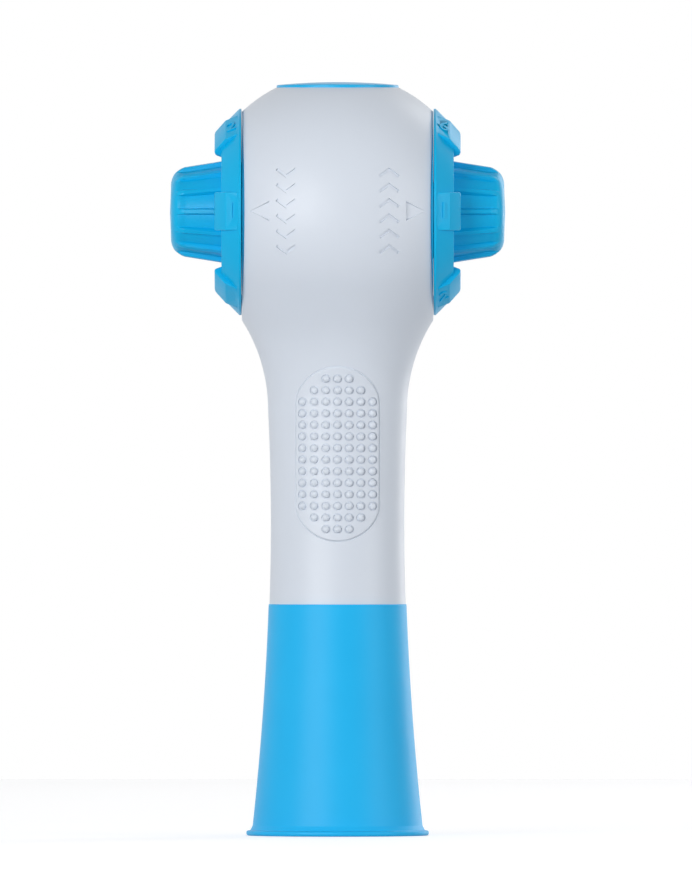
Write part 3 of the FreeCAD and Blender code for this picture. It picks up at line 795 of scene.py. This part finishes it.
def panel_skin(facing):
    """The raised panel as a closed block: a lifted top, and a floor inside the wall."""
    rings = []
    half_length = GRIP_LENGTH / 2
    for row in range(PANEL_ROWS + 1):
        rise = -(half_length - 0.001) * math.cos(math.pi * row / PANEL_ROWS)
        z = GRIP_MIDDLE_Z + rise
        width = max(grip_half_width(z), 0.01)
        top, floor = [], []
        for column in range(PANEL_COLUMNS + 1):
            x = -width * math.cos(math.pi * column / PANEL_COLUMNS)
            from_border = min(width - abs(x), half_length - abs(rise))
            past = max(abs(rise) - (half_length - GRIP_END_RADIUS), 0)
            if past:
                from_border = min(from_border, GRIP_END_RADIUS - math.hypot(x, past))
            near = 1 - min(max(from_border, 0) / GRIP_EDGE, 1)
            top.append(on_shell(x, z, GRIP_RISE * math.sqrt(max(1 - near * near, 0)), facing))
            floor.append(on_shell(x, z, -SHELL_WALL / 2, facing))
        rings.append(top + floor[::-1])
    return swept("panel_skin", rings, False)


def groove_cutter(facing):
    """A V-shaped ring that follows the surface round the panel."""
    section = ((-GROOVE_OVERLAP, GROOVE_LIFT), (GRIP_GROOVE / 2, -GRIP_GROOVE_DEPTH),
               (GRIP_GROOVE, GROOVE_LIFT))
    lines = []
    for grow, lift in section:
        half = GRIP_LENGTH / 2 + grow
        rise = [-half * math.cos(math.pi * step / GROOVE_STEPS) for step in range(GROOVE_STEPS + 1)]
        right = [(grip_half_width(GRIP_MIDDLE_Z + r, grow), r) for r in rise]
        left = [(-w, r) for w, r in right[::-1]][1:-1]
        lines.append([on_shell(x, GRIP_MIDDLE_Z + r, lift, facing) for x, r in right + left])
    return swept("groove_cutter", [list(ring) for ring in zip(*lines)], True)


print("grip half width in the middle:", grip_half_width(GRIP_MIDDLE_Z), "mm")

# %% [markdown]
# Fourteen rows of domed dots cover the panel. In the mould they are drilled
# straight in from the front, so their spacing is even across the picture and
# doesn't bunch up towards the sides. A drilled dot has a small burr groove round
# its foot, which is what draws the dark ring round each dot in the photograph.
# The round forms are turned a little, and the two kinds have different numbers
# of sides, so that no two faces lie in one plane when they are joined.

# %% Dots and their rings
DOT_PITCH = 2.5
DOT_RADIUS = 0.8
DOT_HEIGHT = 0.6
DOT_ROWS = 14
DOT_COLUMNS = 7
DOT_END_ROW = 3
DOT_SIDES = 20
DOT_RINGS = 5
DOT_ROOT = 0.85
DOT_TURN = 0.37
RING_WIDTH = 0.24
RING_DEPTH = 0.16
RING_SIDES = 23
RING_WALL = 0.1
RING_CUT_ABOVE = 0.2


def grip_surface(x, z, facing):
    """How far in front of the middle plane the panel's surface is."""
    return on_shell(x, z, GRIP_RISE, facing).y


def dot_places():
    """The x and z of every dot; the rows get shorter towards both ends."""
    for row in range(DOT_ROWS):
        count = min(DOT_COLUMNS, DOT_END_ROW + 2 * min(row, DOT_ROWS - 1 - row))
        z = GRIP_MIDDLE_Z + (row - (DOT_ROWS - 1) / 2) * DOT_PITCH
        for column in range(count):
            yield (column - (count - 1) / 2) * DOT_PITCH, z


def round_shape(profile, x, z, facing, follows, sides):
    """A round form about Y at a place, from (radius, height above the panel) points."""
    rings = []
    for step in range(sides):
        angle = 2 * math.pi * (step + DOT_TURN) / sides
        ring = []
        for radius, height in profile:
            px, pz = x + radius * math.cos(angle), z + radius * math.sin(angle)
            base = grip_surface(px, pz, facing) if follows else grip_surface(x, z, facing)
            ring.append((px, base + facing * height, pz))
        rings.append(ring)
    return swept("round_shape", rings, True)


def dome(x, z, facing):
    """One dot: a straight root in the wall and a domed top."""
    rises = [math.pi / 2 * level / DOT_RINGS for level in range(DOT_RINGS + 1)]
    profile = [(0, -DOT_ROOT), (DOT_RADIUS, -DOT_ROOT)]
    profile += [(DOT_RADIUS * math.cos(rise), DOT_HEIGHT * math.sin(rise)) for rise in rises]
    return round_shape(profile, x, z, facing, False, DOT_SIDES)


def ring_cutter(x, z, facing):
    """A shallow round pocket; the dome that fills its middle leaves the ring."""
    outer = DOT_RADIUS + RING_WIDTH
    profile = [(0, RING_CUT_ABOVE), (0, -RING_DEPTH),
               (outer - RING_WALL, -RING_DEPTH), (outer, RING_CUT_ABOVE)]
    return round_shape(profile, x, z, facing, True, RING_SIDES)


for half, facing in ((shell_front, -1), (shell_rear, 1)):
    panel = panel_skin(facing)
    combine(panel, merged("rings", [ring_cutter(x, z, facing) for x, z in dot_places()]), "DIFFERENCE")
    combine(panel, merged("domes", [dome(x, z, facing) for x, z in dot_places()]), "UNION")
    combine(half, groove_cutter(facing), "DIFFERENCE")
    combine(half, panel, "UNION")
    print(half.name, "grip made,", len(half.data.polygons), "faces")

dressed(shell_front, shell_white, "trainer", ["housing_front"])
dressed(shell_rear, shell_white, "trainer", ["housing_rear"])

# %% [markdown]
# ## The mouthpiece
#
# A soft trumpet that widens gently to a thin flange for the lips. It is turned
# from one outline: outside wall, rounded flange, then up the bell inside to the
# socket that grips the tube. The third number at each corner is its rounding,
# and the small radii at the top edge and the flange catch the light.

# %% Mouthpiece
MOUTH_TOP_RADIUS = 14.95
MOUTH_TOP_ROUND = 0.5
MOUTH_MIDDLE = (16.3, 25.05)
MOUTH_LIP = (18.4, 2.2)
BELL_MIDDLE = (12.5, 12.15)
FLANGE_THICKNESS = 1.1
FLANGE_FILLET_IN = 0.85
FLANGE_FILLET_UP = 0.05
MOUTH_OPENING_RADIUS = 16.4
MOUTH_THROAT_RADIUS = 9.6
MOUTH_LEDGE_Z = 26.8
MOUTH_THROAT_Z = 24.3
SOCKET_RADIUS = 11.05
MOUTH_STEPS = 192


def mouthpiece_outline():
    """Outside from the top down, round the flange, and up again inside."""
    outside = arc_through(
        (MOUTH_TOP_RADIUS, SEAM_Z - MOUTH_TOP_ROUND), MOUTH_MIDDLE, MOUTH_LIP, 40)
    bell = arc_through(
        (MOUTH_OPENING_RADIUS, 0.3), BELL_MIDDLE, (MOUTH_THROAT_RADIUS, MOUTH_THROAT_Z), 24)
    corners = [(SOCKET_RADIUS, SEAM_Z, 0.3), (MOUTH_TOP_RADIUS, SEAM_Z, MOUTH_TOP_ROUND)]
    corners += [(r, z, 0) for r, z in outside]
    corners += [
        (*MOUTH_LIP, 0.6),
        (FLANGE_RADIUS - FLANGE_FILLET_IN, FLANGE_THICKNESS + FLANGE_FILLET_UP, 0.4),
        (FLANGE_RADIUS, FLANGE_THICKNESS, 0.5),
        (FLANGE_RADIUS, 0, 0.5),
        (MOUTH_OPENING_RADIUS, 0, 0.35),
    ]
    corners += [(r, z, 0) for r, z in bell]
    corners += [
        (MOUTH_THROAT_RADIUS, MOUTH_THROAT_Z, 0),
        (MOUTH_THROAT_RADIUS, MOUTH_LEDGE_Z, 0.2),
        (SOCKET_RADIUS, MOUTH_LEDGE_Z, 0),
    ]
    return rounded(corners)


mouthpiece = turned("soft_mouthpiece", mouthpiece_outline(), MOUTH_STEPS)
dressed(mouthpiece, mouth_blue, "mouthpiece_body", ["mouthpiece"])

# %% [markdown]
# ## The cap
#
# A low dome that closes the top of the ball. Only its rim and dome show, but it
# is turned whole, with the groove that holds it on the shell's lip.

# %% Cap
CAP_RADIUS = 13.2
CAP_RIM_Z = 162.45
CAP_GROOVE_RADIUS = 12.35
CAP_FLANGE_RADIUS = 13.4
CAP_FLANGE_LOW = 158.0
CAP_WALL = 1.6
CAP_MIDWAY_DROP = 0.16
CAP_EDGE = (12.9, 162.47)
CAP_GROOVE_PLAY = 0.1
CAP_STEPS = 144
AXIS_GAP = 0.01


def cap_outline():
    """Over the dome, down into the lip's groove, out round the flange and back inside."""
    over = arc_through((AXIS_GAP, CAP_TOP_Z), (CAP_RADIUS / 2, CAP_TOP_Z - CAP_MIDWAY_DROP), CAP_EDGE, 16)
    groove_high = CAP_LIP_HIGH + CAP_GROOVE_PLAY
    groove_low = CAP_LIP_LOW - CAP_GROOVE_PLAY
    corners = [(r, z, 0) for r, z in over]
    corners += [
        (CAP_RADIUS, CAP_RIM_Z, 0.25),
        (CAP_RADIUS, groove_high, 0.15),
        (CAP_GROOVE_RADIUS, groove_high, 0),
        (CAP_GROOVE_RADIUS, groove_low, 0),
        (CAP_FLANGE_RADIUS, groove_low, 0.2),
        (CAP_FLANGE_RADIUS, CAP_FLANGE_LOW, 0.3),
        (CAP_GROOVE_RADIUS - CAP_WALL, CAP_FLANGE_LOW, 0.2),
        (CAP_GROOVE_RADIUS - CAP_WALL, CAP_RIM_Z - CAP_WALL, 0.4),
        (AXIS_GAP, CAP_TOP_Z - CAP_WALL, 0),
    ]
    return rounded(corners)


cap = turned("domed_cap", cap_outline(), CAP_STEPS)
dressed(cap, cap_blue, "trainer", ["top_cap"])

# %% [markdown]
# ## The dials
#
# A dial is a shallow cone with a knob in its middle and six raised pads for the
# numbers. The knob has fourteen narrow ribs, with panels sunk between them, and
# a smooth rounded end. It is one turned form whose radius drops where a panel
# is: the drop is a product of two soft steps, one round the knob and one along
# it. Lengths named OUT are measured along the dial axis, from the handle's.

# %% Dial outline and knob panels
DIAL_RIM_OUT = 20.80
DIAL_LIP = 0.45
DIAL_FACE_OUT = 25.1
DIAL_FACE_RADIUS = DIAL_RIM_RADIUS - (DIAL_FACE_OUT - DIAL_RIM_OUT - DIAL_LIP)
DIAL_INNER_OUT = 22.9
SKIRT_WALL = 1.8
STEM_RADIUS = 4.5
STEM_END_OUT = 17.2
KNOB_BASE_RADIUS = 11.15
KNOB_TIP_RADIUS = 9.85
KNOB_SHOULDER_OUT = 33.1
KNOB_CORNER_BULGE = 1.08
KNOB_END_DOME = 0.3
KNOB_FLAT_RADIUS = 5.0
KNOB_FLANK_STEPS = 24
KNOB_END_STEPS = 14
KNOB_RIBS = 14
RIB_HALF_WIDTH = 0.48
RIB_SLOPE = 0.25
PANEL_DEPTH = 0.85
PANEL_FADES_FROM = 32.8
PANEL_FADES_TO = 35.3
STEPS_PER_RIB = 24


def soft_step(value, low, high):
    """0 below low, 1 above high and smooth between."""
    share = min(1.0, max(0.0, (value - low) / (high - low)))
    return share * share * (3 - 2 * share)


def knob_radius(radius, height, angle):
    """The knob's radius with its panels; the rest of the dial is left as it is."""
    if radius < KNOB_FLAT_RADIUS or height <= DIAL_FACE_OUT + 0.001 or radius > KNOB_BASE_RADIUS + 0.2:
        return radius
    pitch = 2 * math.pi / KNOB_RIBS
    from_rib = abs(math.remainder(angle, pitch)) * radius
    beside = soft_step(from_rib, RIB_HALF_WIDTH, RIB_HALF_WIDTH + RIB_SLOPE)
    below_end = 1 - soft_step(height, PANEL_FADES_FROM, PANEL_FADES_TO)
    return radius - PANEL_DEPTH * beside * below_end


def dial_outline():
    """Skirt, stem and knob in one outline, without the panels and pads."""
    rim_inner = DIAL_RIM_RADIUS - SKIRT_WALL * math.sqrt(2)
    face_inner = rim_inner - (DIAL_INNER_OUT - DIAL_RIM_OUT)
    flank = []
    for step in range(KNOB_FLANK_STEPS + 1):
        share = step / KNOB_FLANK_STEPS
        flank.append((
            KNOB_BASE_RADIUS + (KNOB_TIP_RADIUS - KNOB_BASE_RADIUS) * share,
            DIAL_FACE_OUT + 0.02 + (KNOB_SHOULDER_OUT - DIAL_FACE_OUT) * share, 0))
    shoulder = Vector((KNOB_TIP_RADIUS, KNOB_SHOULDER_OUT))
    rim = Vector((KNOB_FLAT_RADIUS, KNOB_END_OUT - KNOB_END_DOME))
    chord = (rim - shoulder).normalized()
    corner = (shoulder + rim) / 2 + Vector((chord.y, -chord.x)) * KNOB_CORNER_BULGE
    end_arc = arc_through(shoulder, corner, rim, KNOB_END_STEPS)
    corners = [
        (DIAL_FACE_RADIUS, DIAL_FACE_OUT, 0.3),
        (DIAL_RIM_RADIUS, DIAL_RIM_OUT + DIAL_LIP, 0.15),
        (DIAL_RIM_RADIUS, DIAL_RIM_OUT, 0.12),
        (rim_inner, DIAL_RIM_OUT, 0.2),
        (face_inner, DIAL_INNER_OUT, 0.3),
        (STEM_RADIUS, DIAL_INNER_OUT, 0.2),
        (STEM_RADIUS, STEM_END_OUT, 0.2),
        (AXIS_GAP, STEM_END_OUT, 0),
        (AXIS_GAP, KNOB_END_OUT, 0),
    ]
    corners += [(r, z, 0) for r, z in end_arc[::-1]]
    corners += flank[::-1]
    return rounded(corners, 4)


print("dial outline has", len(dial_outline()), "points")

# %% [markdown]
# The pads are small blocks with a sloping outer end, where the number goes, and
# a softly rounded inner end. A Bevel modifier rounds their edges, and a weight
# on each edge says how much: fully round at the inner end and along the top,
# less at the outer end, and none where the block is buried in the dial. Each
# number is a plain figure raised by a hair, made with Blender's own built-in
# letters.

# %% Pads and numbers
PAD_WIDTH = 8.25
PAD_TOP_OUT = 26.6
PAD_INNER_RADIUS = 15.95
PAD_INNER_SLOPE = 0.65
PAD_CREST_RADIUS = 17.4
PAD_KNEE = (20.45, 24.25)
PAD_FOOT = (21.7, 21.65)
PAD_SUNK = 1.2
PAD_FOOT_LENGTH = 1.6
PAD_ROUND = 0.7
PAD_OUTER_SHARE = 0.45
PAD_OUTER_FROM = 17.5
BURIED_RADIUS = 19.0
BURIED_OUT = 24.0
PAD_NUDGE = math.radians(0.02)
NUMBER_HEIGHT = 3.3
NUMBER_HEIGHT_SHARE = 0.7
NUMBER_RAISED = 0.22
NUMBER_ROOT = 0.6
NUMBER_BOLDER = 0.06
DIAL_NUMBERS = 6
ORIFICE_PITCH = 13.6
ORIFICE_LARGEST = 4.0
ORIFICE_SMALLEST = 1.5
ORIFICE_CHAMFER = 0.25
ORIFICE_CUT_OUT = (20.0, 26.0)
ORIFICE_STEPS = 32


def pad(turn):
    """One pad, built at the front of a dial that looks along +Z, then turned."""
    profile = [
        (PAD_INNER_RADIUS, DIAL_FACE_OUT - PAD_SUNK),
        (PAD_INNER_RADIUS, DIAL_FACE_OUT),
        (PAD_INNER_RADIUS + PAD_INNER_SLOPE, PAD_TOP_OUT),
        (PAD_CREST_RADIUS, PAD_TOP_OUT),
        PAD_KNEE,
        PAD_FOOT,
        (PAD_FOOT[0] - PAD_FOOT_LENGTH, PAD_FOOT[1]),
    ]
    sides = (-PAD_WIDTH / 2, PAD_WIDTH / 2)
    block = swept("pad", [[(x, -radius, height) for radius, height in profile] for x in sides], False)
    made = bmesh.new()
    made.from_mesh(block.data)
    weight = made.edges.layers.float.new("bevel_weight_edge")
    for edge in made.edges:
        middle = (edge.verts[0].co + edge.verts[1].co) / 2 / MM
        if middle.z < BURIED_OUT and -middle.y < BURIED_RADIUS:
            continue
        edge[weight] = PAD_OUTER_SHARE if -middle.y > PAD_OUTER_FROM else 1.0
    made.to_mesh(block.data)
    made.free()
    bevel = block.modifiers.new("round", "BEVEL")
    bevel.limit_method = "WEIGHT"
    bevel.width = PAD_ROUND * MM
    bevel.segments = 4
    block.data = evaluated_mesh(block)
    block.modifiers.clear()
    block.data.transform(Matrix.Rotation(turn + PAD_NUDGE, 4, "Z"))
    return block


def number(figure, turn, side):
    """A raised figure on the sloping outer end of a pad."""
    half_thickness = 0.5 * (NUMBER_RAISED + NUMBER_ROOT)
    letters = bpy.data.curves.new("figure", "FONT")
    letters.body = str(figure)
    letters.size = NUMBER_HEIGHT / NUMBER_HEIGHT_SHARE * MM
    letters.align_x = "CENTER"
    letters.align_y = "CENTER"
    letters.extrude = half_thickness * MM
    letters.offset = NUMBER_BOLDER * MM
    holder = bpy.data.objects.new("figure", letters)
    bpy.context.scene.collection.objects.link(holder)
    mesh = evaluated_mesh(holder)
    bpy.data.objects.remove(holder)
    along = Vector((0, PAD_KNEE[0] - PAD_FOOT[0], PAD_KNEE[1] - PAD_FOOT[1])).normalized()
    right = Vector((0, -along.y, along.z)) * side
    up = Vector((-side, 0, 0))
    out = right.cross(up)
    middle = Vector((0, -(PAD_KNEE[0] + PAD_FOOT[0]) / 2, (PAD_KNEE[1] + PAD_FOOT[1]) / 2))
    centre = middle + out * (NUMBER_RAISED - half_thickness)
    axes = Matrix((right, up, out)).transposed().to_4x4()
    mesh.transform(Matrix.Rotation(turn, 4, "Z") @ Matrix.Translation(centre * MM) @ axes)
    made = bmesh.new()
    made.from_mesh(mesh)
    bmesh.ops.remove_doubles(made, verts=made.verts, dist=1e-7)
    bmesh.ops.recalc_face_normals(made, faces=made.faces)
    made.to_mesh(mesh)
    made.free()
    shape = bpy.data.objects.new("figure", mesh)
    bpy.context.scene.collection.objects.link(shape)
    return shape


def orifice_cutter(step, turn):
    """The hole that belongs to a number, with a small chamfer at the dial's face."""
    share = step / (DIAL_NUMBERS - 1)
    radius = (ORIFICE_LARGEST + (ORIFICE_SMALLEST - ORIFICE_LARGEST) * share) / 2
    lip = radius + ORIFICE_CHAMFER
    low, high = ORIFICE_CUT_OUT
    outline = [(0.001, low), (radius, low), (radius, DIAL_FACE_OUT - ORIFICE_CHAMFER),
               (lip, DIAL_FACE_OUT + 0.002), (lip, high), (0.001, high)]
    cutter = turned("orifice", outline, ORIFICE_STEPS)
    cutter.data.transform(Matrix.Translation(Vector((0, -ORIFICE_PITCH, 0)) * MM))
    cutter.data.transform(Matrix.Rotation(turn, 4, "Z"))
    return cutter


print("pad tools ready")

# %% Both dials
for name, side in (("inhale", -1), ("exhale", 1)):
    dial = turned(name + "_dial_dressed", dial_outline(), KNOB_RIBS * STEPS_PER_RIB, knob_radius)
    turns = [2 * math.pi * step / DIAL_NUMBERS for step in range(DIAL_NUMBERS)]
    combine(dial, merged("pads", [pad(turn) for turn in turns]), "UNION")
    combine(dial, merged("orifices", [orifice_cutter(i, t) for i, t in enumerate(turns)]), "DIFFERENCE")
    combine(dial, merged("figures", [number(i + 1, t, side) for i, t in enumerate(turns)]), "UNION")
    dial.data.transform(side_matrix(side))
    dressed(dial, dial_blue, name + "_dial_set", [name + "_dial"])

# %% [markdown]
# ## The parts inside
#
# The port plates, the duct and the small parts of the valves and clicks keep
# the shapes that the frame gave them. Each takes the finish that belongs to its
# material slot, except the port plates: their blue is darker than the dial's,
# painted shade for the thin crescent between dial and shell, which lies in shadow.

# %% Finishes for the frame's own parts
SLOT_FINISH = {
    "white_shell": shell_white,
    "blue_plastic": duct_blue,
    "blue_silicone": mouth_blue,
    "clear_silicone": milky,
    "natural_plastic": natural,
    "stainless_steel": steel,
}

for entry in frame["record"]["subparts"]:
    node = frame["nodes"][entry["node"]]
    finish = SLOT_FINISH[entry["material_slot"]]
    # The port plates get the darker blue, which is painted shade.
    if entry["node"].endswith("port_plate"):
        finish = plate_blue_painted_shade
    node.data.materials.clear()
    node.data.materials.append(finish)

# %% [markdown]
# ## Studio
#
# The photograph is lit softly from the front left, from about the part's own
# height: the ball and the handle are brightest a little left of the middle and
# darker overhead. A thin bright line runs down the far right edge. One large
# soft box, a fill and a strip behind do that, in a pale world that is dimmer
# overhead. The extra white of the floor and the world is for the camera, for
# mirrors and for glass only, so it puts no extra light on the part.

# %% Floor
FLOOR_HALF_M = 1.0
FLOOR_GLOW = 0.56

floor_mesh = bpy.data.meshes.new("floor")
floor_mesh.from_pydata(
    [(-FLOOR_HALF_M, -FLOOR_HALF_M, 0), (FLOOR_HALF_M, -FLOOR_HALF_M, 0),
     (FLOOR_HALF_M, FLOOR_HALF_M, 0), (-FLOOR_HALF_M, FLOOR_HALF_M, 0)], [], [(0, 1, 2, 3)])
floor = bpy.data.objects.new("floor", floor_mesh)
bpy.context.scene.collection.objects.link(floor)
floor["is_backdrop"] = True

floor_paint = Paint("pale_floor")
floor_grain = floor_paint.noise(40.0, 2.0)
floor_paint.set(
    Base_Color=floor_paint.shades(floor_grain, (0.55, 0.55, 0.56), (0.58, 0.58, 0.59)),
    Roughness=0.7,
)


def plain_sight(paint):
    """1 for rays that the camera sees directly, in a mirror or through glass."""
    kinds = ("Is Camera Ray", "Is Glossy Ray", "Is Transmission Ray")
    seen, mirrored, through = (paint.node("ShaderNodeLightPath", output=kind) for kind in kinds)
    return seen + mirrored + through


glow = floor_paint.node("ShaderNodeEmission", {}, {
    "Color": (1, 1, 1, 1), "Strength": plain_sight(floor_paint) * FLOOR_GLOW})
floor_shader = Flow(floor_paint, floor_paint.shader.outputs[0])
lit_and_glowing = floor_paint.node("ShaderNodeAddShader", {}, {0: floor_shader, 1: glow})
floor_paint.fill(floor_paint.output.inputs[0], lit_and_glowing)
floor_mesh.materials.append(floor_paint.material)
print("floor laid")

# %% World
WORLD_HORIZON = 0.62
WORLD_ZENITH = 0.25

world = bpy.data.worlds.new("studio")
bpy.context.scene.world = world
world.use_nodes = True
air = Wiring(world.node_tree)
upward = air.node("ShaderNodeSeparateXYZ", {}, {0: air.node("ShaderNodeTexCoord")}, "Z")
height = air.node("ShaderNodeClamp", {}, {"Value": upward})
strength = WORLD_HORIZON + (WORLD_ZENITH - WORLD_HORIZON) * height
dim = air.node("ShaderNodeBackground", {}, {"Color": (0.97, 0.985, 1.0, 1), "Strength": strength})
bright = air.node("ShaderNodeBackground", {}, {"Color": (1, 1, 1, 1), "Strength": 1.0})
sky = air.node("ShaderNodeMixShader", {}, {0: plain_sight(air), 1: dim, 2: bright})
air.fill(air.tree.nodes.new("ShaderNodeOutputWorld").inputs[0], sky)
print("world from", WORLD_HORIZON, "at the horizon to", WORLD_ZENITH, "overhead")

# %% Lamps
LAMPS_LOOK_AT = Vector((0, 0, 90)) * MM


def lamp(name, azimuth, elevation, distance, size, power):
    """A soft box that looks at the middle of the part, from a distance in metres."""
    data = bpy.data.lights.new(name, "AREA")
    data.shape = "RECTANGLE"
    data.size, data.size_y = size
    data.energy = power
    made = bpy.data.objects.new(name, data)
    bpy.context.scene.collection.objects.link(made)
    a, e = math.radians(azimuth), math.radians(elevation)
    away = Vector((math.sin(a) * math.cos(e), -math.cos(a) * math.cos(e), math.sin(e)))
    made.location = LAMPS_LOOK_AT + away * distance
    made.rotation_mode = "QUATERNION"
    made.rotation_quaternion = away.to_track_quat("Z", "Y")


lamp("front_left_box", -32, 2, 1.2, (0.8, 0.9), 11.7)
lamp("front_right_fill", 60, 4, 1.6, (0.8, 1.2), 8.0)
lamp("rim_strip", 142, 6, 1.2, (0.35, 2.0), 7.0)
print("three lamps")

# %% [markdown]
#
# The picture's colours are left plain: the Standard view shows a colour much as
# it is written. Last, the box of the dressed part is written beside the box of
# the frame, so that the two can be compared.

# %% Colour and size
bpy.context.scene.view_settings.view_transform = "Standard"

dressed_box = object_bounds()
for name, box in (("frame", cad_box), ("dressed", dressed_box)):
    print(name, [round((high - low) / MM, 2) for low, high in zip(*box)], "mm")
